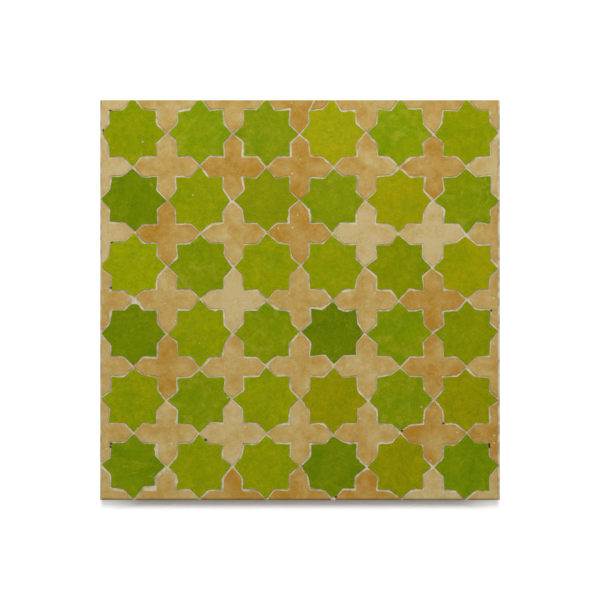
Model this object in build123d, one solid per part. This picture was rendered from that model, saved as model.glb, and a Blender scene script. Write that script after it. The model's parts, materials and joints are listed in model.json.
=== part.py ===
from build123d import *

import os
from math import sqrt

# Moroccan mosaic tile, in millimetres: cut ceramic stars and crosses cast into one mortar bed.
# +Z is up, out of the face. The origin is the middle of the back. Row 1 is at +Y, column 1 at -X.

# Pattern, seen on the face
COLUMNS = 6
ROWS = 6
PITCH = 50.8             # from one star's centre to the next
JOINT = 1.3              # between the faces of neighbouring chips
TIP_FLAT = 0.6           # width of the blunt end the chisel leaves on each point

# Chips
CHIP_THICKNESS = 11.0
BACK_SETBACK = 1.5       # the back is smaller than the face by this much all round

# Mortar
BED_THICKNESS = 8.0      # under the chips
JOINT_RECESS = 0.5       # from the chips' faces down to the mortar in the joints
SIDE_COVER = 1.0         # mortar outside the chips on the left and right edges

# Trimmed edge of the tile
ARRIS = 0.8              # worn bevel along the chips' outer edges
CORNER_RADIUS = 2.0

# The broken half cross on the top edge
BROKEN_LINE = 3          # the line between two columns that it stands on, from the left
CRACK_WIDTH = 0.8
CRACK_LEAN = 24.0        # degrees from straight across the edge

# Everything below follows from the sizes above.
TILE_WIDTH = COLUMNS * PITCH
TILE_LENGTH = ROWS * PITCH
TILE_THICKNESS = BED_THICKNESS + CHIP_THICKNESS
REACH = PITCH / 2                # from a chip's centre to its point, with no joint taken off
SQUARE_HALF = REACH / sqrt(2)    # half the side of the star's two squares
ARM_HALF = REACH - SQUARE_HALF   # half the width of a cross's arm


def turned(points, count):
    """The points, repeated evenly round the centre."""
    return [Vector(*point).rotate(Axis.Z, k * 360 / count) for k in range(count) for point in points]


def star_outline(inset):
    """Two squares, one turned by 45 degrees, with blunt points."""
    half = SQUARE_HALF - inset
    end = half * sqrt(2) - TIP_FLAT / 2
    point = [(end, -TIP_FLAT / 2), (end, TIP_FLAT / 2), (half, half * (sqrt(2) - 1))]
    return turned(point, 8)


def cross_outline(inset):
    """Four equal arms with blunt pointed ends."""
    arm = ARM_HALF - inset
    tip = (SQUARE_HALF - inset) * sqrt(2)
    end = tip - TIP_FLAT / 2
    shoulder = tip - arm
    point = [(arm, -arm), (shoulder, -arm), (end, -TIP_FLAT / 2), (end, TIP_FLAT / 2), (shoulder, arm)]
    return turned(point, 4)


def make_chip(outline):
    """A chip at the tile's centre, undercut all round so that the mortar keys it in."""
    back = Polygon(*outline(JOINT / 2 + BACK_SETBACK))
    face = Polygon(*outline(JOINT / 2))
    return loft([Pos(Z=BED_THICKNESS) * back, Pos(Z=TILE_THICKNESS) * face], ruled=True)


def make_field():
    """The block that the trimmed chips keep within, with its worn bevel and rounded corners."""
    outline = RectangleRounded(TILE_WIDTH - 2 * SIDE_COVER, TILE_LENGTH, CORNER_RADIUS)
    block = extrude(outline, TILE_THICKNESS)
    return chamfer(block.faces().sort_by(Axis.Z)[-1].edges(), ARRIS)


def make_crack():
    """The gap in the broken half cross, from its inner corner out to the tile's edge."""
    gap = Box(CRACK_WIDTH, PITCH, TILE_THICKNESS, align=(Align.CENTER, Align.MIN, Align.MIN))
    return Pos(ARM_HALF, -ARM_HALF) * Rot(Z=-CRACK_LEAN) * gap


def star_place(row, column):
    """Where the star of this row and column stands, both counted from 1."""
    return Pos((column - (COLUMNS + 1) / 2) * PITCH, ((ROWS + 1) / 2 - row) * PITCH)


def cross_place(row_line, column_line):
    """Where the cross between these rows and columns stands. Line 0 is the tile's top or left edge."""
    return Pos((column_line - COLUMNS / 2) * PITCH, (ROWS / 2 - row_line) * PITCH)


def make_stars(field):
    """A node for each star. Those along the edges are trimmed with the tile."""
    chip = make_chip(star_outline)
    nodes = {}
    for row in range(1, ROWS + 1):
        for column in range(1, COLUMNS + 1):
            star = star_place(row, column) * chip
            if row in (1, ROWS) or column in (1, COLUMNS):
                star = star & field
            nodes[f"star_r{row}_c{column}"] = [star]
    return nodes


def make_crosses(field):
    """A node for each row of whole crosses, each edge of half crosses and each corner chip."""
    chip = make_chip(cross_outline)
    rows = range(1, ROWS)
    columns = range(1, COLUMNS)
    nodes = {f"crosses_row_{row}": [cross_place(row, column) * chip for column in columns] for row in rows}

    edges = {"top": 0, "bottom": ROWS}
    sides = {"left": 0, "right": COLUMNS}
    for edge, row in edges.items():
        halves = {column: cross_place(row, column) * chip & field for column in columns}
        if edge == "top":
            halves[BROKEN_LINE] -= cross_place(row, BROKEN_LINE) * make_crack()
        nodes[f"half_crosses_{edge}"] = list(halves.values())
        for side, column in sides.items():
            nodes[f"corner_chip_{edge}_{side}"] = [cross_place(row, column) * chip & field]
    for side, column in sides.items():
        nodes[f"half_crosses_{side}"] = [cross_place(row, column) * chip & field for row in rows]
    return nodes


def make_mortar(chips):
    """One casting: the bed, the joints and the cover along the sides, up to just under the faces."""
    size = (TILE_WIDTH, TILE_LENGTH, TILE_THICKNESS - JOINT_RECESS)
    block = Box(*size, align=(Align.CENTER, Align.CENTER, Align.MIN))
    return block.cut(*chips)


FIELD = make_field()
NODES = make_stars(FIELD) | make_crosses(FIELD)
ALL_CHIPS = [solid for shapes in NODES.values() for shape in shapes for solid in shape.solids()]
NODES["mortar_bed"] = [make_mortar(ALL_CHIPS)]

os.makedirs("parts", exist_ok=True)
for name, shapes in NODES.items():
    solids = [solid for shape in shapes for solid in shape.solids()]
    export_step(Compound(solids, label=name), f"parts/{name}.step")
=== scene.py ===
import json
import math

import bmesh
import bpy
import numpy as np
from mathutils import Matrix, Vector, noise
from mathutils.geometry import delaunay_2d_cdt


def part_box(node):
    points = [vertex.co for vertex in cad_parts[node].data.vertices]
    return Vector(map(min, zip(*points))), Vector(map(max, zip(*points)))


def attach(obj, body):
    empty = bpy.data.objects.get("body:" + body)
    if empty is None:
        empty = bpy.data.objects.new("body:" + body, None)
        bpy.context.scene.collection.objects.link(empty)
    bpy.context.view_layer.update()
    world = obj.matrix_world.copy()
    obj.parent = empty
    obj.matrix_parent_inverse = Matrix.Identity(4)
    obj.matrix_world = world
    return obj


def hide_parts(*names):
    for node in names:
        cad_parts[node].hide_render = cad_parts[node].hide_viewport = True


# The looks of the mosaic tile: hand-cut chips in poured mortar, the light and the camera.
# Shapes are worked out in millimetres and turned to metres when a mesh is made.

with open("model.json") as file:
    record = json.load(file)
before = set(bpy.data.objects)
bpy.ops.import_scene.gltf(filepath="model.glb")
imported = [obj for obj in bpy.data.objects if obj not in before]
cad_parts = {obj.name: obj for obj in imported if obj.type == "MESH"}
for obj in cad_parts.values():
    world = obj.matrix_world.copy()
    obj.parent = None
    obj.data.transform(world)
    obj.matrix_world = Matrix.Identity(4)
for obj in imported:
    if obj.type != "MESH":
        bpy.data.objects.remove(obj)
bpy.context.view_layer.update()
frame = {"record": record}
MM = 0.001


def box_mm(node):
    """A CAD node's lowest and highest corners, in millimetres."""
    return [np.array(corner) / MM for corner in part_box(node)]


# Sizes that the CAD model gives, to a thousandth of a millimetre
DIGITS = 3
bed_low, bed_high = box_mm("mortar_bed")
WIDTH, LENGTH, _ = np.round(bed_high - bed_low, DIGITS)
JOINT_Z = round(bed_high[2], DIGITS)
CHIP_BACK_Z, FACE_Z = (round(corner[2], DIGITS) for corner in box_mm("star_r2_c2"))
PITCH = round(box_mm("star_r2_c3")[0][0] - box_mm("star_r2_c2")[0][0], DIGITS)
COLUMNS = round(WIDTH / PITCH)
ROWS = round(LENGTH / PITCH)
REACH = PITCH / 2
SQUARE_HALF = REACH / math.sqrt(2)
ARM_HALF = REACH - SQUARE_HALF

# Sizes of the setting, as in the CAD model
SIDE_COVER = 1.0
BACK_SETBACK = 1.5
CRACK_WIDTH = 0.8
CRACK_LEAN = math.radians(24)
BROKEN_LINE = 3

# How far the hand strays from the pattern
SEED = 7
CORNER_STRAY = 0.6       # of the corners where chips meet
DRIFT = 0.9              # of the whole pattern, over several chips
DRIFT_LENGTH = 90
DRIFT_LAYERS = (11, 12)
SHIFT = 0.14             # of a whole chip
LINE_SHIFT = 0.32        # of each end of a cut line
WANDER = 0.2             # of a line between its ends
WANDER_LENGTH = 3.2
MEAN_INSET = 0.35        # from the middle of a joint to a chip
LEAST_INSET = 0.02
MOST_INSET = 1.3
RIGHT_EXTRA = 0.6        # more mortar shows along the right-hand edge
TOP_ROW_RISE = 2.4       # the top row's points stood over the edge and were trimmed off with it

# Nicks along a chip's edge, with their widths in points of the outline
FINE_NICK = 0.05
POINTS_PER_NICK = 28
NICK_WIDTHS = (0.8, 2.6)
NICK_DEPTHS = (0.15, 0.6)

# Corners that are rounded most, by the cosine of their turn, and how many points on each side are rounded
WIDE_TURN = (0.4, 0.95)
SOFT_REACH = 2

# Faces: how far under the highest level they lie, how much they tilt, and their waves as height and length
FACE_DROP = 0.12
FACE_DROP_STRAY = 0.2
FACE_TILT = 0.0025
FACE_WAVES = ((0.05, 14), (0.015, 4))

# Points along the edges and over the faces
EDGE_SPACING = 0.88
FACE_SPACING = 2.4
FACE_CLEAR = 1.0
GRID_ROW = 0.87          # from one row of points to the next, as a share of the spacing
GRID_STRAY = 0.2         # of each point, as a share of the spacing

# Rings of a chip, as inset from its outline and depth under its face
FACE_RINGS = ((0.0, 0.4), (0.08, 0.18), (0.22, 0.04), (0.4, 0.0), (0.55, 0.0))
FLANK_INSET = 0.12
FLANK_DEPTH = 1.1
TRIM_BROWN = {"end": 1.0, "side": 0.5}
FLANK_BROWN = 0.5

# Mortar in the joints: its depth under the CAD model's, and its waves as height, length and layer
JOINT_DROP = 0.22
JOINT_WAVES = ((0.12, 1.6, 1), (0.35, 13, 2))
POCKET_CLEAR = 0.05      # between a chip and its pocket
SMEAR_LENGTH = 5         # of the smears, where mortar runs in under a chip's edge and climbs it
SMEAR_LAYER = 3          # above the chip's own layer
SMEAR_TUCK = 0.3
SMEAR_CLIMB = 0.25
JOINT_LIFTS = (0.0, 0.05, 0.08)
GAP_SHADE_LENGTH = 8           # of the painted shade along a chip's edge, as of a thin gap where mortar fell short of it
GAP_SHADE_LAYER = 5            # above the chip's own layer
GAP_SHADE_SIZE = 2.6
GAP_SHADE_LEAST = 0.85
GAP_SHADE_SHARES = (0.0, 0.15, 1.0)

# Unseen sides and back of the mortar, with the back's waves as height, length and layer
SIDE_ROUGHNESS = 0.4
SIDE_LENGTH = 5
SIDE_LAYER = 3
SIDE_LEVELS = 8
BACK_SPACING = 5.0
BACK_WAVES = ((0.5, 26, 6), (0.25, 7, 7))

# Damage: points snapped off, by direction in degrees, edges cut back, by number from the right-hand point,
# places where a chip's edge is knocked out and filled with mortar, and voids in the joints, with shade
# painted dark into them
SNAPPED = {"star_r1_c4": {45: 2.4}, "star_r4_c1": {90: 3.0}, "star_r6_c4": {270: 2.6}}
CUT_BACK = {"star_r6_c1": {1: 1.0, 13: 2.6, 14: 1.2, 15: 0.9}}
VOIDS = ((-145, 146), (-151, 130), (-144, 45), (-144, 9), (-147, -109), (-147, -112), (-70, -105), (79, -101),
         (109, -94), (147, -110), (147, -111.5), (148, -8), (26.5, -149.6))
VOID_RADIUS = 0.85
VOID_DEPTH = 2.0
VOID_BITE = 0.55
# Painted shade in the voids: how dark at their middle, before it is clipped
VOID_SHADE_STRENGTH = 1.4
KNOCKED = ((-68, 146), (42, 145), (-109, -114), (-98, -138), (108, 4), (-6, 61), (-64, -6), (31, -4),
           (38, -107), (113, -144))
KNOCK_RADIUS = 1.7
KNOCK_BITE = 1.3

# Clay chips that are browner or paler than the rest, by the lines between rows and columns
BROWN_CHIPS = {(0, 3), (1, 2), (1, 3), (1, 5), (2, 1), (2, 3), (3, 5), (4, 1), (4, 5), (5, 5), (5, 6), (6, 2),
               (6, 3), (6, 4)}
PALE_CHIPS = {(0, 0), (1, 0), (1, 6), (2, 0), (2, 4), (2, 5), (3, 2), (5, 2), (6, 5)}
CLAY_TONE = 0.52
CLAY_GROUPS = ((BROWN_CHIPS, 0.9), (PALE_CHIPS, 0.15))

# Stars that are brighter or dimmer than the rest of their glaze, by row and column
BRIGHT_STARS = {(1, 2), (1, 4), (1, 5), (3, 1), (6, 1), (6, 6)}
DIM_STARS = {(2, 3), (3, 5), (4, 4), (4, 6), (5, 4), (5, 6), (6, 5)}
STAR_TONE = 0.5
STAR_GROUPS = ((BRIGHT_STARS, 0.9), (DIM_STARS, 0.1))

# Limits within which points count as being in one place, in millimetres unless a name says metres
ON_EDGE = 0.01
NEAR_SIDE = 0.1
SLIVER = 1e-6
MERGE = 1e-7
JOIN_METRES = 1e-6

SHARP_ANGLE = math.radians(50)
UNTANGLE_ROUNDS = 6

# Noise: the step between its layers, so that they are unlike each other, and what a chip's own is drawn from
LAYER_STEP = 7.3
MOST_LAYERS = 100
SEED_REACH = 5


def turned(point, degrees):
    """A point turned about the origin."""
    angle = math.radians(degrees)
    x, y = point
    return (x * math.cos(angle) - y * math.sin(angle), x * math.sin(angle) + y * math.cos(angle))


def wave(x, y, length, layer):
    """Smooth noise between about -1 and 1 that changes over the given length."""
    return noise.noise(Vector((x / length, y / length, layer * LAYER_STEP)))


def swell(x, y, length, layer):
    """The same noise between about 0 and 1."""
    return 0.5 + 0.5 * wave(x, y, length, layer)


def cross(first, second):
    """The cross product of vectors in the plane."""
    return first[..., 0] * second[..., 1] - first[..., 1] * second[..., 0]


def crossings(ring):
    """Pairs of a closed ring's segments that cross, as the numbers of their first points."""
    along = np.roll(ring, -1, 0) - ring
    gap = ring[None] - ring[:, None]
    turn = cross(along[:, None], along[None])
    turn[turn == 0] = np.nan
    place = cross(gap, along[None]) / turn
    other = cross(gap, along[:, None]) / turn
    meet = (place >= 0) & (place <= 1) & (other >= 0) & (other <= 1)
    pairs = np.argwhere(np.triu(meet, 2))
    return [(i, j) for i, j in pairs if j - i < len(ring) - 1]


def untangle(ring):
    """The ring with its small loops, where its line crosses itself, pulled straight."""
    ring = ring.copy()
    count = len(ring)
    for _ in range(UNTANGLE_ROUNDS):
        pairs = crossings(ring)
        if not pairs:
            break
        for i, j in pairs:
            first, last = (i, j) if j - i <= count / 2 else (j, i + count)
            shares = np.linspace(0, 1, last - first + 2)[1:-1, None]
            start = ring[first % count]
            end = ring[(last + 1) % count]
            ring[np.arange(first + 1, last + 1) % count] = start * (1 - shares) + end * shares
    return ring


def spot(x, y, places, radius):
    """How much of the nearest of these places is here, from 0 to 1."""
    return max(math.exp(-((x - i) ** 2 + (y - j) ** 2) / radius ** 2) for i, j in places)


def trim_top(corners):
    """The part of a cell below the tile's top edge."""
    edge = LENGTH / 2
    kept = []
    for first, second in zip(corners, np.roll(corners, -1, 0)):
        over = first[1] - edge
        over_next = second[1] - edge
        if over < SLIVER:
            kept.append(first)
        if over * over_next < -SLIVER:
            kept.append(first + (second - first) * over / (over - over_next))
    return np.array(kept)


class Chip:
    """A cut piece: its cell in the pattern, and the lines that the hand cut it to."""

    def __init__(self, node, place, corners, tone, cracks=()):
        self.node = node
        self.place = np.array(place)
        self.corners = trim_top(corners)
        self.following = np.roll(self.corners, -1, 0)
        along = self.following - self.corners
        lengths = np.linalg.norm(along, axis=1)
        self.normals = np.stack((-along[:, 1], along[:, 0]), 1) / lengths[:, None]
        self.kinds = ["crack" if i in cracks else self.edge_kind(i) for i in range(len(self.corners))]
        self.counts = [max(2, round(length / EDGE_SPACING)) for length in lengths]
        self.edge_of = np.repeat(np.arange(len(self.corners)), self.counts)
        self.tone = tone

    def edge_kind(self, i):
        """Whether an edge meets a joint, or the tile's trimmed ends or sides."""
        pair = np.abs(np.stack((self.corners[i], self.following[i])))
        if np.allclose(pair[:, 1], LENGTH / 2, atol=ON_EDGE):
            return "end"
        if np.allclose(pair[:, 0], WIDTH / 2, atol=ON_EDGE):
            return "side"
        return "joint"

    def cut(self, rng, voids, knocks):
        """Chooses the lines, nicks and tilt of this chip."""
        cover = SIDE_COVER + (RIGHT_EXTRA if self.place[0] > 0 else 0)
        base = {"joint": MEAN_INSET, "crack": CRACK_WIDTH / 2, "side": cover, "end": 0.0}
        free = np.isin(self.kinds, ("joint", "crack"))
        shift = rng.normal(0, SHIFT, 2)
        self.lines = np.array([[base[kind]] * 2 for kind in self.kinds])
        for end in (0, 1):
            stray = self.normals @ shift + rng.normal(0, LINE_SHIFT, len(free))
            self.lines[free, end] = np.clip(self.lines[free, end] + stray[free], LEAST_INSET, MOST_INSET)
        for edge, extra in CUT_BACK.get(self.node, {}).items():
            self.lines[edge] += extra
        self.layer = rng.uniform(0, MOST_LAYERS)
        self.nicks = self.choose_nicks(rng)
        self.wander = self.choose_wander(voids, knocks)
        self.top = FACE_Z - FACE_DROP - rng.uniform(0, FACE_DROP_STRAY)
        self.tilt = rng.normal(0, FACE_TILT, 2)
        self.seed = rng.uniform(-SEED_REACH, SEED_REACH, 3)

    def free_points(self):
        """Which points of the outline lie clear of the tile's trimmed edges."""
        free = np.isin(self.kinds, ("joint", "crack"))[self.edge_of]
        return free & np.roll(free, 1)

    def choose_wander(self, voids, knocks):
        """How far each point of the outline wanders in from its straight line, kept within its own cell."""
        share = np.concatenate([np.arange(n) / n for n in self.counts])
        inset = self.lines[self.edge_of, 0] * (1 - share) + self.lines[self.edge_of, 1] * share
        points = self.sample(self.corners)
        wobble = np.array([WANDER * wave(x, y, WANDER_LENGTH, self.layer) for x, y in points])
        knocked = np.array([VOID_BITE * spot(x, y, voids, VOID_RADIUS) for x, y in points])
        if self.node.startswith("star"):
            knocked += [KNOCK_BITE * spot(x, y, knocks, KNOCK_RADIUS) for x, y in points]
        kept = np.maximum(self.nicks + wobble, LEAST_INSET - inset)
        return np.where(self.free_points(), kept + knocked, 0)

    def choose_nicks(self, rng):
        """How deep each point of the outline is nicked: a fine chisel line with a few chips knocked out."""
        count = len(self.edge_of)
        depths = np.abs(rng.normal(0, FINE_NICK, count))
        for _ in range(rng.poisson(count / POINTS_PER_NICK)):
            middle = rng.integers(count)
            width = rng.uniform(*NICK_WIDTHS)
            depth = rng.uniform(*NICK_DEPTHS)
            away = np.abs((np.arange(count) - middle + count // 2) % count - count // 2)
            depths = np.maximum(depths, depth * np.clip(1 - (away / width) ** 2, 0, 1))
        return np.where(self.free_points(), depths, 0)

    def meet(self, insets):
        """Where each edge's line meets the one before it."""
        start = self.corners + self.normals * insets[:, :1]
        along = self.following + self.normals * insets[:, 1:] - start
        gap = np.roll(start, 1, 0) - start
        along_before = np.roll(along, 1, 0)
        share = cross(gap, along_before) / cross(along, along_before)
        return start + along * share[:, None]

    def sample(self, corners):
        """Points spaced along the edges between these corners."""
        pairs = zip(corners, np.roll(corners, -1, 0), self.counts)
        return np.concatenate([a + (b - a) * np.arange(n)[:, None] / n for a, b, n in pairs])

    def ring(self, inset, flank=False):
        """The chip's outline, taken in by inset. A trimmed edge stands upright, so a flank ring keeps it."""
        trimmed = np.isin(self.kinds, ("end", "side"))
        extra = np.where(trimmed & flank, 0, inset)
        points = self.sample(self.meet(self.lines + extra[:, None]))
        points = self.soften(points)
        points = points + self.normals[self.edge_of] * (self.wander * math.exp(-inset))[:, None]
        for degrees, depth in SNAPPED.get(self.node, {}).items():
            away = np.array(turned((1, 0), degrees))
            over = (points - self.place) @ away - (REACH - depth - inset)
            points = points - away * np.maximum(over, 0)[:, None]
        return untangle(points)

    def soften(self, points):
        """Rounds the corners, the wide ones most, except those on the tile's trimmed ends."""
        open_edge = (np.array(self.kinds) == "end")[self.edge_of]
        free = np.where(open_edge | np.roll(open_edge, 1), 0.0, 1.0)
        for strength in (free, self.wide_corners() * free):
            blurred = (np.roll(points, 1, 0) + 2 * points + np.roll(points, -1, 0)) / 4
            points = points + (blurred - points) * strength[:, None]
        return points

    def wide_corners(self):
        """1 near the wide corners, which are the notches of stars and shoulders of crosses, 0 elsewhere."""
        turn = (np.roll(self.normals, 1, 0) * self.normals).sum(1)
        least, most = WIDE_TURN
        first = np.cumsum([0] + self.counts[:-1])
        near = np.arange(-SOFT_REACH, SOFT_REACH + 1)
        mask = np.zeros(len(self.edge_of))
        for i in first[(turn > least) & (turn < most)]:
            mask[(i + near) % len(mask)] = 1
        return mask

    def height(self, x, y):
        """The face: a little tilted and wavy, as it came from the kiln."""
        level = self.top + self.tilt @ (np.array((x, y)) - self.place)
        for size, length in FACE_WAVES:
            level += size * wave(x, y, length, self.layer)
        return min(level, FACE_Z)

    def lift(self, points, depth):
        """Points of the plane put at a depth under the face."""
        return np.array([(x, y, self.height(x, y) - depth) for x, y in points])

    def trim_mask(self):
        """How brown the cut is along the tile's trimmed ends and sides, and 0 elsewhere."""
        return np.array([TRIM_BROWN.get(kind, 0.0) for kind in self.kinds])[self.edge_of]


class Pattern:
    """The corners where chips meet, each put a little out of place by the hand."""

    def __init__(self, rng):
        self.rng = rng
        self.moves = {}

    def corners(self, place, corners):
        """A cell's corners about its place, each of them moved."""
        return np.array([self.moved(np.add(place, corner)) for corner in corners])

    def moved(self, point):
        """The corner moved. Chips that share it move it alike, and corners on the tile's edges stay there."""
        key = tuple(np.round(point))
        if key not in self.moves:
            reach = 2 * CORNER_STRAY
            move = np.clip(self.rng.normal(0, CORNER_STRAY, 2), -reach, reach)
            move += [DRIFT * wave(*point, DRIFT_LENGTH, layer) for layer in DRIFT_LAYERS]
            on_side, on_end = np.isclose(np.abs(point), (WIDTH / 2, LENGTH / 2), atol=ON_EDGE)
            if on_side:
                move[0] = 0
            if on_end:
                move[1] = 0 if on_side or point[1] < 0 else TOP_ROW_RISE
            self.moves[key] = move
        return point + self.moves[key]


def choose_tone(key, plain, groups):
    """The tone of the group that a chip's row and column are in, or else the plain one."""
    return next((tone for group, tone in groups if key in group), plain)


def make_stars(pattern):
    """The chips of the stars, row by row."""
    unit = ((REACH, 0), (SQUARE_HALF, ARM_HALF))
    corners = [turned(point, 45 * k) for k in range(8) for point in unit]
    chips = []
    for row in range(1, ROWS + 1):
        for column in range(1, COLUMNS + 1):
            place = ((column - (COLUMNS + 1) / 2) * PITCH, ((ROWS + 1) / 2 - row) * PITCH)
            tone = choose_tone((row, column), STAR_TONE, STAR_GROUPS)
            chips.append(Chip(f"star_r{row}_c{column}", place, pattern.corners(place, corners), tone))
    return chips


def cross_node(row_line, column_line):
    """The CAD node that holds the clay chip on these lines."""
    edge = {0: "top", ROWS: "bottom"}.get(row_line)
    side = {0: "left", COLUMNS: "right"}.get(column_line)
    if edge and side:
        return f"corner_chip_{edge}_{side}"
    if edge or side:
        return f"half_crosses_{edge or side}"
    return f"crosses_row_{row_line}"


def cross_corners(place):
    """The corners of a cross's cell. On the tile's edge it keeps only the quarters inside."""
    x, y = place
    quarters = ((1, 1), (-1, 1), (-1, -1), (1, -1))
    inside = [abs(x + i) < WIDTH / 2 and abs(y + j) < LENGTH / 2 for i, j in quarters]
    start = next((q for q in range(4) if inside[q] and not inside[q - 1]), 0)
    unit = ((REACH, 0), (SQUARE_HALF, ARM_HALF), (ARM_HALF, ARM_HALF), (ARM_HALF, SQUARE_HALF))
    corners = [turned(point, 90 * (start + q)) for q in range(sum(inside)) for point in unit]
    if sum(inside) < 4:
        corners.append(turned((REACH, 0), 90 * (start + sum(inside))))
    if sum(inside) == 1:
        corners.append((0, 0))
    return corners


def break_in_two(node, place, corners, tone):
    """The two pieces of the broken half cross, on each side of a crack from its inner corner to the edge."""
    # Numbers of the inner corner and of the smaller piece's broken edge
    inner = 6
    bit_crack = 3
    end = np.add(place, (ARM_HALF + ARM_HALF * math.tan(CRACK_LEAN), 0))
    main = Chip(node, place, np.vstack((corners[:inner + 1], end)), tone, cracks=[inner])
    bit = Chip(node, place, np.vstack((corners[inner:], end)), tone, cracks=[bit_crack])
    return [main, bit]


def make_crosses(pattern):
    """The clay chips: whole crosses, and halves and quarters along the tile's edges."""
    chips = []
    for row_line in range(ROWS + 1):
        for column_line in range(COLUMNS + 1):
            place = ((column_line - COLUMNS / 2) * PITCH, (ROWS / 2 - row_line) * PITCH)
            node = cross_node(row_line, column_line)
            corners = pattern.corners(place, cross_corners(place))
            tone = choose_tone((row_line, column_line), CLAY_TONE, CLAY_GROUPS)
            if (row_line, column_line) == (0, BROKEN_LINE):
                chips += break_in_two(node, place, corners, tone)
            else:
                chips.append(Chip(node, place, corners, tone))
    return chips


def inside_ring(points, ring, clear):
    """Which points lie within a closed ring and at least this far from its points."""
    x = points[:, :1]
    y = points[:, 1:]
    ax, ay = ring.T
    bx, by = np.roll(ring, -1, 0).T
    level_rise = 1e-9
    rise = np.where(by == ay, level_rise, by - ay)
    crossed = ((ay > y) != (by > y)) & (x < (bx - ax) * (y - ay) / rise + ax)
    near = np.hypot(x - ax, y - ay).min(1)
    return (crossed.sum(1) % 2 == 1) & (near > clear)


def scatter(ring, spacing, clear, rng):
    """Points over the inside of a ring, on a loose triangular grid."""
    low = ring.min(0)
    high = ring.max(0)
    rows = np.arange(low[1], high[1], spacing * GRID_ROW)
    columns = np.arange(low[0], high[0], spacing)
    grid = [(x + (i % 2) * spacing / 2, y) for i, y in enumerate(rows) for x in columns]
    points = np.array(grid) + rng.uniform(-GRID_STRAY, GRID_STRAY, (len(grid), 2)) * spacing
    return points[inside_ring(points, ring, clear)]


def fill(ring, inner):
    """Triangles over a ring and the points inside it, as indices into the ring and then the points."""
    count = len(ring)
    spots = [Vector(point) for point in np.vstack((ring, inner))]
    loop = [(i, (i + 1) % count) for i in range(count)]
    inside_only = 1
    _, _, faces, originals, _, _ = delaunay_2d_cdt(spots, loop, [], inside_only, MERGE)
    return [[originals[i][0] for i in face] for face in faces]


def bands(count, first, second, skip=None):
    """Faces between two rings of the same count, which start at these indices."""
    steps = [i for i in range(count) if skip is None or not skip[i]]
    return [(first + i, first + (i + 1) % count, second + (i + 1) % count, second + i) for i in steps]


class Build:
    """A mesh being put together: points, faces, each face's material and values at the points."""

    def __init__(self):
        self.points = []
        self.faces = []
        self.slots = []
        self.values = {}

    def add_points(self, points, **values):
        """Adds points with their values, and gives the index of the first."""
        start = len(self.points)
        self.points += [tuple(point) for point in points]
        for name, value in values.items():
            spread = value if np.ndim(value) == 2 else np.broadcast_to(value, len(points))
            self.values.setdefault(name, []).extend(spread)
        return start

    def add_faces(self, faces, slot=0):
        """Adds faces of one material."""
        self.faces += faces
        self.slots += [slot] * len(faces)

    def finish(self, name, materials, node, slot):
        """Makes the object, which replaces a CAD node and rides on the tile."""
        mesh = bpy.data.meshes.new(name)
        mesh.from_pydata((np.array(self.points) * MM).tolist(), [], self.faces)
        for material in materials:
            mesh.materials.append(material)
        mesh.polygons.foreach_set("material_index", self.slots)
        for label, values in self.values.items():
            kind, field = ("FLOAT_VECTOR", "vector") if np.ndim(values) == 2 else ("FLOAT", "value")
            held = mesh.attributes.new(label, kind, "POINT")
            held.data.foreach_set(field, np.array(values, np.float32).ravel())
        tidy_mesh(mesh)
        piece = bpy.data.objects.new(name, mesh)
        bpy.context.scene.collection.objects.link(piece)
        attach(piece, "root")
        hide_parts(node)
        return piece


def tidy_mesh(mesh):
    """Joins shared points, turns the faces outwards and sets smooth shading with sharp corners."""
    shape = bmesh.new()
    shape.from_mesh(mesh)
    bmesh.ops.remove_doubles(shape, verts=shape.verts, dist=JOIN_METRES)
    bmesh.ops.recalc_face_normals(shape, faces=shape.faces)
    shape.to_mesh(mesh)
    shape.free()
    mesh.shade_smooth()
    mesh.set_sharp_from_angle(angle=SHARP_ANGLE)


def add_chip(build, chip, rng):
    """The closed mesh of a chip: back, undercut flank, rounded edge and wavy face."""
    count = len(chip.edge_of)
    same = {"tone": chip.tone, "seed": np.tile(chip.seed, (count, 1))}
    trim = chip.trim_mask()
    back = [(x, y, CHIP_BACK_Z) for x, y in chip.ring(BACK_SETBACK, flank=True)]
    flank = chip.lift(chip.ring(FLANK_INSET, flank=True), FLANK_DEPTH)
    body = [
        build.add_points(back, rim=0.0, bite=0.0, trim=0.0, **same),
        build.add_points(flank, rim=0.0, bite=0.0, trim=trim * FLANK_BROWN, **same),
    ]
    rounded = []
    widest = FACE_RINGS[-1][0]
    for inset, depth in FACE_RINGS:
        outline = chip.ring(inset)
        rim = inset / widest
        values = {"rim": rim, "bite": chip.nicks * (1 - rim), "trim": trim * (1 - rim)}
        rounded.append(build.add_points(chip.lift(outline, depth), **values, **same))
    inner = scatter(outline, FACE_SPACING, FACE_CLEAR, rng)
    same = {"tone": chip.tone, "seed": np.tile(chip.seed, (len(inner), 1))}
    build.add_points(chip.lift(inner, 0), rim=1.0, bite=0.0, trim=0.0, **same)
    body_slot = 1 if chip.node.startswith("star") else 0
    build.add_faces([tuple(body[0] + i for i in reversed(range(count)))], body_slot)
    for first, second in zip(body, body[1:] + rounded[:1]):
        build.add_faces(bands(count, first, second), body_slot)
    for first, second in zip(rounded, rounded[1:]):
        build.add_faces(bands(count, first, second))
    build.add_faces([tuple(rounded[-1] + i for i in face) for face in fill(outline, inner)])


def onto_joints(places, chips):
    """The points of the joints that lie nearest to these places."""
    points = np.vstack([chip.sample(chip.corners) for chip in chips])
    return [points[np.hypot(*(points - place).T).argmin()] for place in places]


def joint_height(x, y, voids):
    """The mortar's surface in the joints: rough, a little hollow, with a few voids."""
    level = JOINT_Z - JOINT_DROP
    for size, length, layer in JOINT_WAVES:
        level += size * wave(x, y, length, layer)
    return level - VOID_DEPTH * spot(x, y, voids, VOID_RADIUS)


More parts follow.
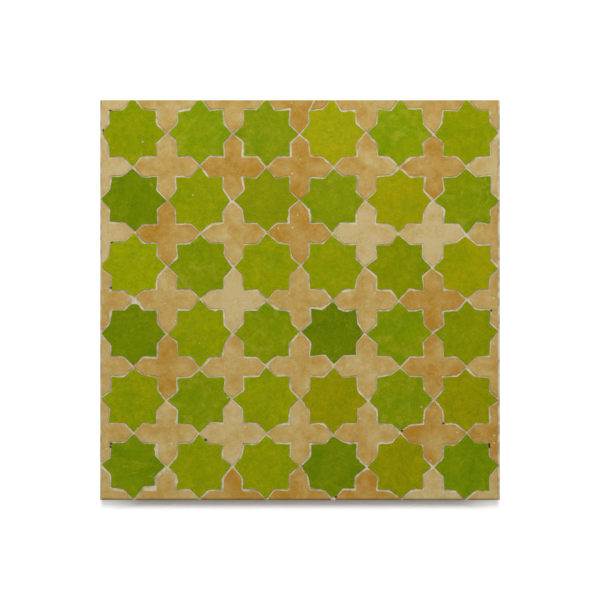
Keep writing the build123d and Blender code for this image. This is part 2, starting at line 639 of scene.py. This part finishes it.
def add_pocket(build, chip, voids):
    """The mortar round one chip: its half of the joint, and the pocket that the chip sits in."""
    count = len(chip.edge_of)
    skip = (np.array(chip.kinds) == "end")[chip.edge_of]
    cell = chip.sample(chip.corners)
    smear = np.array([swell(x, y, SMEAR_LENGTH, chip.layer + SMEAR_LAYER) for x, y in cell])
    # Painted shade along the chip's edge, in patches, as of a thin gap where mortar fell short of it
    gap = np.array([GAP_SHADE_SIZE * wave(x, y, GAP_SHADE_LENGTH, chip.layer + GAP_SHADE_LAYER) - GAP_SHADE_LEAST for x, y in cell])
    gap = np.maximum(gap, 0)
    tuck = SMEAR_TUCK * smear * ~(skip | np.roll(skip, 1))
    rim = chip.ring(POCKET_CLEAR) + chip.normals[chip.edge_of] * tuck[:, None]
    climbs = (0, 0, SMEAR_CLIMB * smear)
    starts = []
    for ring, lift, climb, share in zip((cell, (cell + rim) / 2, rim), JOINT_LIFTS, climbs, GAP_SHADE_SHARES):
        points = np.array([(x, y, joint_height(x, y, voids)) for x, y in ring])
        points[:, 2] += lift + climb
        # Painted shade in the voids, which are also dug into the mortar
        dark = [VOID_SHADE_STRENGTH * spot(x, y, voids, VOID_RADIUS) for x, y in ring]
        starts.append(build.add_points(points, void=np.clip(dark + share * gap, 0, 1), joint=1.0))
    flank = chip.lift(chip.ring(FLANK_INSET + POCKET_CLEAR, flank=True), FLANK_DEPTH)
    floor = [(x, y, CHIP_BACK_Z) for x, y in chip.ring(BACK_SETBACK, flank=True)]
    starts += [build.add_points(ring, void=0.0, joint=0.0) for ring in (flank, floor)]
    for first, second in zip(starts, starts[1:]):
        build.add_faces(bands(count, first, second, skip))
    build.add_faces([tuple(starts[-1] + i for i in range(count))])


def roughen_side(vert):
    """Takes a point of the mortar's sides in a little."""
    x, y, z = vert.co / MM
    depth = SIDE_ROUGHNESS * swell(x + y, z, SIDE_LENGTH, SIDE_LAYER) * MM
    if abs(abs(x) - WIDTH / 2) < NEAR_SIDE:
        vert.co.x -= math.copysign(depth, x)
    if abs(abs(y) - LENGTH / 2) < NEAR_SIDE:
        vert.co.y -= math.copysign(depth, y)


def open_loop(shape):
    """The points round the mesh's open edge, in order."""
    edge = next(edge for edge in shape.edges if edge.is_boundary)
    loop = [edge.verts[0]]
    while True:
        vert = edge.other_vert(loop[-1])
        if vert == loop[0]:
            return loop
        loop.append(vert)
        edge = next(other for other in vert.link_edges if other.is_boundary and other != edge)


def back_height(x, y):
    """The back, poured against a flat board, which left shallow hollows."""
    return max(0.0, sum(size * wave(x, y, length, layer) for size, length, layer in BACK_WAVES))


def draw_sides(shape):
    """Draws the casting's sides down from the open edge of its upper surface, and roughens them."""
    marks = [shape.verts.layers.float[name] for name in ("void", "joint")]
    sides = []
    for level in range(SIDE_LEVELS, 0, -1):
        edges = [edge for edge in shape.edges if edge.is_boundary]
        made = bmesh.ops.extrude_edge_only(shape, edges=edges)["geom"]
        for vert in (item for item in made if isinstance(item, bmesh.types.BMVert)):
            vert.co.z *= (level - 1) / level
            for mark in marks:
                vert[mark] = 0
            sides.append(vert)
    for vert in sides:
        roughen_side(vert)


def close_mortar(mesh, rng):
    """Sides and back of the casting."""
    shape = bmesh.new()
    shape.from_mesh(mesh)
    bmesh.ops.remove_doubles(shape, verts=shape.verts, dist=JOIN_METRES)
    loose = [vert for vert in shape.verts if not vert.link_faces]
    bmesh.ops.delete(shape, geom=loose, context="VERTS")
    draw_sides(shape)
    loop = open_loop(shape)
    ring = untangle(np.array([vert.co.xy for vert in loop]) / MM)
    for vert, point in zip(loop, ring):
        vert.co.xy = point * MM
    inner = scatter(ring, BACK_SPACING, BACK_SPACING / 2, rng)
    loop += [shape.verts.new(Vector((x, y, back_height(x, y))) * MM) for x, y in inner]
    for face in fill(ring, inner):
        shape.faces.new([loop[i] for i in face])
    shape.to_mesh(mesh)
    shape.free()


def srgb(*colour):
    """A colour given as 0 to 255, as the linear colour that a shader takes."""
    parts = [value / 255 for value in colour]
    return [((c + 0.055) / 1.055) ** 2.4 if c > 0.04045 else c / 12.92 for c in parts] + [1.0]


class Shader:
    """A material, with short ways to add nodes to it. Sizes on the object are in millimetres."""

    def __init__(self, name):
        self.material = bpy.data.materials.new(name)
        self.material.use_nodes = True
        self.tree = self.material.node_tree
        self.surface = self.tree.nodes["Principled BSDF"]

    def add(self, kind, inputs=None, **settings):
        """A new node with these inputs and settings."""
        node = self.tree.nodes.new(kind)
        for name, value in settings.items():
            setattr(node, name, value)
        for socket, value in (inputs or {}).items():
            self.put(node.inputs[socket], value)
        return node

    def put(self, socket, value):
        """Links a node's output to a socket, or sets the socket to a plain value."""
        if isinstance(value, bpy.types.NodeSocket):
            self.tree.links.new(value, socket)
        else:
            socket.default_value = value

    def value(self, name):
        """A value held at the mesh's points."""
        return self.add("ShaderNodeAttribute", attribute_name=name).outputs["Fac"]

    def places(self):
        """Places on the object, in metres."""
        return self.add("ShaderNodeTexCoord").outputs["Object"]

    def chip_places(self):
        """Places on the object, moved by the chip's own seed so that no two chips are alike."""
        seed = self.add("ShaderNodeAttribute", attribute_name="seed").outputs["Vector"]
        inputs = {0: self.places(), 1: seed}
        return self.add("ShaderNodeVectorMath", inputs, operation="ADD").outputs["Vector"]

    def along(self, axis):
        """How far this is along one of the tile's axes, in metres."""
        return self.add("ShaderNodeSeparateXYZ", {0: self.places()}).outputs[axis]

    def clouds(self, places, size, detail=3.0, roughness=0.55, distortion=0.0):
        """Soft noise of this size, from 0 to 1."""
        inputs = {"Vector": places, "Scale": 1 / (size * MM), "Detail": detail, "Roughness": roughness,
                  "Distortion": distortion}
        return self.add("ShaderNodeTexNoise", inputs).outputs["Fac"]

    def ramp(self, value, low, high):
        """0 below low, 1 above high, straight between."""
        inputs = {"Value": value, "From Min": low, "From Max": high}
        return self.add("ShaderNodeMapRange", inputs).outputs["Result"]

    def steps(self, value, low, high):
        """0 below low, 1 above high, smooth between. The two may be the other way round."""
        inputs = {"Value": value, "From Min": low, "From Max": high}
        return self.add("ShaderNodeMapRange", inputs, interpolation_type="SMOOTHSTEP").outputs["Result"]

    def math(self, operation, first, second=0.0):
        """One step of arithmetic."""
        return self.add("ShaderNodeMath", {0: first, 1: second}, operation=operation).outputs["Value"]

    def times(self, first, second):
        """The product of two values."""
        return self.math("MULTIPLY", first, second)

    def spread(self, value, amount):
        """A value from 0 to 1 spread evenly about 0, over this amount."""
        return self.times(self.math("SUBTRACT", value, 0.5), amount)

    def mix(self, factor, first, second, blend="MIX"):
        """Two colours mixed. The colour sockets of this node go by number, because their names repeat."""
        inputs = {0: factor, 6: first, 7: second}
        return self.add("ShaderNodeMix", inputs, data_type="RGBA", blend_type=blend).outputs[2]

    def tint(self, colour, mask, most, other):
        """The colour with another laid over it where the mask is, by this much at most."""
        return self.mix(self.times(mask, most), colour, other)

    def specks(self, places, spacing, radius, share):
        """Round specks about this far apart, in a share of the places where one could be."""
        cells = self.add("ShaderNodeTexVoronoi", {"Vector": places, "Scale": 1 / (spacing * MM)})
        outer = radius / spacing
        inner = 0.55 * outer
        dot = self.steps(cells.outputs["Distance"], outer, inner)
        chosen = self.add("ShaderNodeSeparateColor", {"Color": cells.outputs["Color"]}).outputs["Red"]
        return self.times(dot, self.math("LESS_THAN", chosen, share))

    def shade(self, colour, value, low, high):
        """The colour made darker or lighter, from low to high as value goes from 0 to 1."""
        inputs = {"Value": value, "To Min": low, "To Max": high}
        level = self.add("ShaderNodeMapRange", inputs).outputs["Result"]
        parts = {"Red": level, "Green": level, "Blue": level}
        grey = self.add("ShaderNodeCombineColor", parts).outputs["Color"]
        return self.mix(1.0, colour, grey, "MULTIPLY")

    def bump(self, height, distance, strength, normal=None):
        """A normal that rises and falls with height, on top of another normal if there is one."""
        inputs = {"Height": height, "Distance": distance * MM, "Strength": strength}
        if normal:
            inputs["Normal"] = normal
        return self.add("ShaderNodeBump", inputs).outputs["Normal"]

    def finish(self, colour, roughness, normal):
        """Connects the surface. Every surface of the tile shines only faintly."""
        self.put(self.surface.inputs["Base Color"], colour)
        self.put(self.surface.inputs["Roughness"], roughness)
        self.put(self.surface.inputs["Normal"], normal)
        self.surface.inputs["Specular IOR Level"].default_value = 0.1
        return self.material


# Colours of each glaze as most of it, where it pooled green and where it ran thin and yellow
GLAZES = {
    "glaze_dark_leaf": (srgb(110, 128, 0), srgb(97, 121, 0), srgb(124, 135, 2)),
    "glaze_leaf": (srgb(127, 140, 0), srgb(111, 134, 0), srgb(144, 150, 26)),
    "glaze_lime": (srgb(137, 145, 0), srgb(126, 141, 0), srgb(151, 151, 0)),
    "glaze_olive": (srgb(149, 146, 0), srgb(136, 142, 0), srgb(159, 151, 0)),
}
YELLOW_SPECK = srgb(176, 172, 50)
DARK_SPECK = srgb(66, 84, 6)
SCRATCH = srgb(172, 170, 40)
PINHOLE = srgb(214, 200, 160)
BISCUIT = srgb(196, 168, 122)

# Colours of each clay where it is pale, sandy and rusty, of what lies on it, and of the shade painted along
# the tile's bottom edge
CLAYS = {
    "terracotta": (srgb(194, 174, 124), srgb(185, 155, 88), srgb(169, 123, 32)),
    "star_body": (srgb(204, 178, 132), srgb(194, 162, 112), srgb(171, 130, 72)),
}
SMEARED_MORTAR = srgb(212, 192, 148)
MORTAR_CRUMB = srgb(222, 208, 176)
TRIMMED_CLAY = srgb(146, 100, 40)
BOTTOM_EDGE_SHADE = srgb(92, 64, 20)

# Colours of the mortar, and of the shade painted into its voids and gaps
JOINT_PALE = srgb(206, 195, 168)
JOINT_STAIN = srgb(168, 152, 116)
CAST_PALE = srgb(202, 193, 172)
CAST_DULL = srgb(172, 160, 134)
CAST_PORE = srgb(120, 110, 92)
SAND_GRAIN = srgb(150, 132, 104)
PAINTED_VOID_SHADE = srgb(64, 58, 46)


def glaze_material(slot):
    """Mottled green glaze with fine specks, pinholes and a pale body where it is chipped."""
    s = Shader(slot)
    most, green, yellow = GLAZES[slot]
    places = s.chip_places()
    pools = s.steps(s.clouds(places, 24, roughness=0.6, distortion=0.6), 0.42, 0.7)
    thin = s.steps(s.clouds(places, 9, detail=4.0, roughness=0.6), 0.48, 0.72)
    colour = s.tint(s.mix(pools, most, green), thin, 0.8, yellow)
    colour = s.shade(colour, s.value("tone"), 0.86, 1.14)
    colour = s.shade(colour, s.clouds(places, 3.6, roughness=0.7), 0.72, 1.28)
    colour = s.shade(colour, s.clouds(places, 1.1, detail=2.0, roughness=0.6), 0.68, 1.32)
    colour = s.tint(colour, s.specks(places, spacing=5, radius=0.55, share=0.5), 0.5, YELLOW_SPECK)
    colour = s.tint(colour, s.specks(places, spacing=6, radius=0.4, share=0.4), 0.5, DARK_SPECK)
    lines = s.clouds(places, 14, detail=2.0, roughness=0.5, distortion=1.5)
    lines = s.steps(s.math("ABSOLUTE", s.math("SUBTRACT", lines, 0.5)), 0.014, 0.004)
    scratches = s.times(lines, s.steps(s.clouds(places, 16, detail=2.0), 0.52, 0.62))
    colour = s.tint(colour, scratches, 0.4, SCRATCH)
    pinholes = s.specks(places, spacing=14, radius=0.7, share=0.3)
    colour = s.tint(colour, pinholes, 0.85, PINHOLE)
    chipped = s.steps(s.value("bite"), 0.12, 0.3)
    colour = s.mix(chipped, colour, BISCUIT)
    patches = s.steps(s.clouds(places, 7, roughness=0.7), 0.35, 0.6)
    worn = s.times(s.steps(s.value("rim"), 0.8, 0.1), patches)
    colour = s.tint(colour, worn, 0.5, BISCUIT)
    height = s.math("SUBTRACT", s.clouds(places, 6, detail=2.0), s.times(pinholes, 0.8))
    rough_rim = s.times(s.steps(s.value("rim"), 1.0, 0.8), 0.45)
    roughness = s.math("ADD", rough_rim, 0.08)
    return s.finish(colour, roughness, s.bump(height, 0.04, 0.5))


def clay_material(name):
    """Sandy unglazed clay: cream and rusty clouds, browner along some edges, with mortar left on it and
    painted shade along the tile's bottom edge.
    """
    s = Shader(name)
    pale, sand, rust = CLAYS[name]
    places = s.chip_places()
    grain = s.clouds(places, 1.3, roughness=0.7)
    broad = s.spread(s.clouds(places, 20, distortion=0.3), 1.6)
    small = s.spread(s.clouds(places, 6, roughness=0.65), 1.1)
    tone = s.math("ADD", s.value("tone"), s.spread(grain, 0.85))
    tone = s.math("ADD", tone, s.math("ADD", broad, small))
    colour = s.mix(s.ramp(tone, 0.0, 0.5), pale, sand)
    colour = s.mix(s.ramp(tone, 0.5, 1.2), colour, rust)
    patches = s.steps(s.clouds(places, 8, detail=2.0), 0.45, 0.65)
    burnt_edge = s.times(s.steps(s.value("rim"), 0.9, 0.1), patches)
    colour = s.tint(colour, burnt_edge, 0.45, rust)
    colour = s.shade(colour, grain, 1.05, 0.95)
    smears = s.steps(s.clouds(places, 5, roughness=0.7, distortion=1.5), 0.66, 0.78)
    colour = s.tint(colour, smears, 0.5, SMEARED_MORTAR)
    patches = s.steps(s.clouds(places, 15, detail=1.0), 0.45, 0.6)
    crumbs = s.times(s.specks(places, spacing=5, radius=0.7, share=0.4), patches)
    colour = s.tint(colour, crumbs, 0.85, MORTAR_CRUMB)
    colour = s.tint(colour, s.value("trim"), 0.75, TRIMMED_CLAY)
    # Painted shade: a dark brown line along the upper corner of the tile's bottom edge, which turns away from
    # the lamps
    colour = s.tint(colour, painted_bottom_shade(s), 0.7, BOTTOM_EDGE_SHADE)
    normal = s.bump(s.clouds(places, 3.5), 0.2, 0.5)
    return s.finish(colour, 0.62, s.bump(grain, 0.05, 0.6, normal))


def painted_bottom_shade(s):
    """Where shade is painted: along the upper corner of the tile's bottom edge, from none to full."""
    edge = -LENGTH / 2
    from_edge = (2.0, 0.2)
    from_face = (2.5, 0.8)
    near_edge = s.steps(s.along("Y"), *[(edge + reach) * MM for reach in from_edge])
    near_face = s.steps(s.along("Z"), *[(FACE_Z - reach) * MM for reach in from_face])
    return s.times(near_edge, near_face)


def mortar_material():
    """Pale gritty mortar with sand grains: stained in the joints and plainer elsewhere, with shade painted
    dark into the voids and along the chips' edges.
    """
    s = Shader("mortar")
    places = s.places()
    stain = s.steps(s.clouds(places, 7, detail=4.0, roughness=0.65), 0.4, 0.64)
    joint = s.mix(stain, JOINT_PALE, JOINT_STAIN)
    cast = s.mix(s.clouds(places, 30, detail=5.0, roughness=0.6), CAST_PALE, CAST_DULL)
    cast = s.tint(cast, s.specks(places, spacing=7, radius=1.0, share=0.4), 0.6, CAST_PORE)
    colour = s.mix(s.value("joint"), cast, joint)
    grit = s.clouds(places, 0.6, roughness=0.7)
    colour = s.shade(colour, grit, 0.84, 1.12)
    colour = s.tint(colour, s.specks(places, spacing=1.8, radius=0.32, share=0.5), 0.6, SAND_GRAIN)
    # Painted shade: dark in the voids and along gaps at the chips' edges
    colour = s.mix(s.steps(s.value("void"), 0.2, 0.8), colour, PAINTED_VOID_SHADE)
    normal = s.bump(s.clouds(places, 2.2), 0.3, 0.6)
    return s.finish(colour, 0.85, s.bump(grit, 0.15, 0.7, normal))


def make_chips(rng, chips, slots):
    """The chips, each node's in one object."""
    clay = clay_material("terracotta")
    body = clay_material("star_body")
    glazes = {slot: glaze_material(slot) for slot in GLAZES}
    for node in sorted({chip.node for chip in chips}):
        build = Build()
        for chip in (chip for chip in chips if chip.node == node):
            add_chip(build, chip, rng)
        materials = [glazes[slots[node]], body] if node.startswith("star") else [clay]
        build.finish(f"{node}_chip", materials, node, slots[node])


def make_mortar(rng, chips, voids, slots):
    """The mortar, cast round all the chips."""
    build = Build()
    for chip in chips:
        add_pocket(build, chip, voids)
    piece = build.finish("mortar_casting", [mortar_material()], "mortar_bed", slots["mortar_bed"])
    close_mortar(piece.data, rng)
    tidy_mesh(piece.data)


def make_pieces():
    """Every chip and the mortar, each in place of its CAD node."""
    rng = np.random.default_rng(SEED)
    pattern = Pattern(rng)
    chips = make_stars(pattern) + make_crosses(pattern)
    voids = onto_joints(VOIDS, chips)
    knocks = onto_joints(KNOCKED, chips)
    for chip in chips:
        chip.cut(rng, voids, knocks)
    slots = {entry["node"]: entry["material_slot"] for entry in frame["record"]["subparts"]}
    make_chips(rng, chips, slots)
    make_mortar(rng, chips, voids, slots)


def painted_floor_glow(s):
    """How much painted glow whitens the floor: most of it fully, the band where the shadow falls least, and
    more again towards the sides, which fades the shadow's ends away.
    """
    band_middle = -LENGTH / 2 * MM - 0.002
    band_half = 0.002
    fade = 0.007
    side = WIDTH / 2 * MM
    side_fade = 0.036
    least = 0.02
    more = 0.3
    from_band = s.math("ABSOLUTE", s.math("SUBTRACT", s.along("Y"), band_middle))
    past_band = s.steps(from_band, band_half, band_half + fade)
    # Painted light: the glow rises towards the sides, so that the shadow fades out before the corners
    near_sides = s.steps(s.math("ABSOLUTE", s.along("X")), side - side_fade, side)
    clear = s.math("MAXIMUM", past_band, near_sides)
    return s.math("ADD", s.times(clear, more), least)


def make_floor():
    """A white floor whose glow is painted so that it keeps the tile's shadow but fades it towards the
    corners. It is open under the tile, so that the back can be seen.
    """
    s = Shader("floor")
    s.surface.inputs["Base Color"].default_value = srgb(247, 247, 247)
    s.surface.inputs["Roughness"].default_value = 0.9
    s.surface.inputs["Specular IOR Level"].default_value = 0.0
    rays = s.add("ShaderNodeLightPath").outputs
    seen = s.math("MAXIMUM", rays["Is Camera Ray"], rays["Is Glossy Ray"])
    seen = s.math("MAXIMUM", seen, rays["Is Transmission Ray"])
    s.surface.inputs["Emission Color"].default_value = (1, 1, 1, 1)
    s.put(s.surface.inputs["Emission Strength"], s.times(seen, painted_floor_glow(s)))
    half_size = 6.0
    under_tile = 5.0
    half_hole = (WIDTH / 2 - under_tile) * MM
    level = -0.0001
    corners = ((-1, -1), (1, -1), (1, 1), (-1, 1))
    points = [(half * x, half * y, level) for half in (half_size, half_hole) for x, y in corners]
    mesh = bpy.data.meshes.new("floor")
    mesh.from_pydata(points, [], bands(4, 0, 4))
    mesh.materials.append(s.material)
    floor = bpy.data.objects.new("floor", mesh)
    bpy.context.scene.collection.objects.link(floor)


def make_world():
    """A pale studio, bright round the sides and dimmer overhead."""
    world = bpy.data.worlds.new("studio")
    world.use_nodes = True
    bpy.context.scene.world = world
    tree = world.node_tree
    background = tree.nodes["Background"]
    places = tree.nodes.new("ShaderNodeTexCoord").outputs["Generated"]
    split = tree.nodes.new("ShaderNodeSeparateXYZ")
    tree.links.new(places, split.inputs[0])
    level = tree.nodes.new("ShaderNodeMapRange")
    for name, value in {"From Min": 0.05, "From Max": 0.3, "To Min": 1.0, "To Max": 0.2}.items():
        level.inputs[name].default_value = value
    tree.links.new(split.outputs["Z"], level.inputs["Value"])
    tree.links.new(level.outputs["Result"], background.inputs["Strength"])
    background.inputs["Color"].default_value = (1, 1, 1, 1)


def make_lamp(name, watts, width, depth, place, mirrored=True):
    """A soft lamp, aimed at the tile. A deep one softens the shadow's lower edge."""
    lamp = bpy.data.lights.new(name, "AREA")
    lamp.energy = watts
    lamp.shape = "RECTANGLE"
    lamp.size = width
    lamp.size_y = depth
    item = bpy.data.objects.new(name, lamp)
    item.visible_glossy = mirrored
    item.location = place
    item.rotation_euler = Vector(place).to_track_quat("Z", "Y").to_euler()
    bpy.context.scene.collection.objects.link(item)


def make_camera():
    """Straight down on the tile through a long lens. The tile is two thirds of the picture's width."""
    camera = bpy.data.cameras.new("camera")
    camera.lens = 120
    camera.sensor_width = 36
    frame_width = WIDTH * MM * 3 / 2
    eye = bpy.data.objects.new("camera", camera)
    eye.location = (0.0, 0.0, FACE_Z * MM + frame_width * camera.lens / camera.sensor_width)
    bpy.context.scene.collection.objects.link(eye)
    bpy.context.scene.camera = eye


make_pieces()
make_floor()
make_world()
# The lamps stand beyond the tile's top edge, so that the shadow falls below its bottom edge
make_lamp("key", watts=24.0, width=0.5, depth=0.5, place=(0.0, 1.05, 3.2))
make_lamp("soft", watts=42.0, width=0.5, depth=1.3, place=(0.0, 0.8, 3.26), mirrored=False)
make_lamp("near", watts=1.9, width=0.3, depth=0.3, place=(0.0, 0.62, 0.5))
make_camera()
bpy.context.scene.view_settings.view_transform = "Standard"
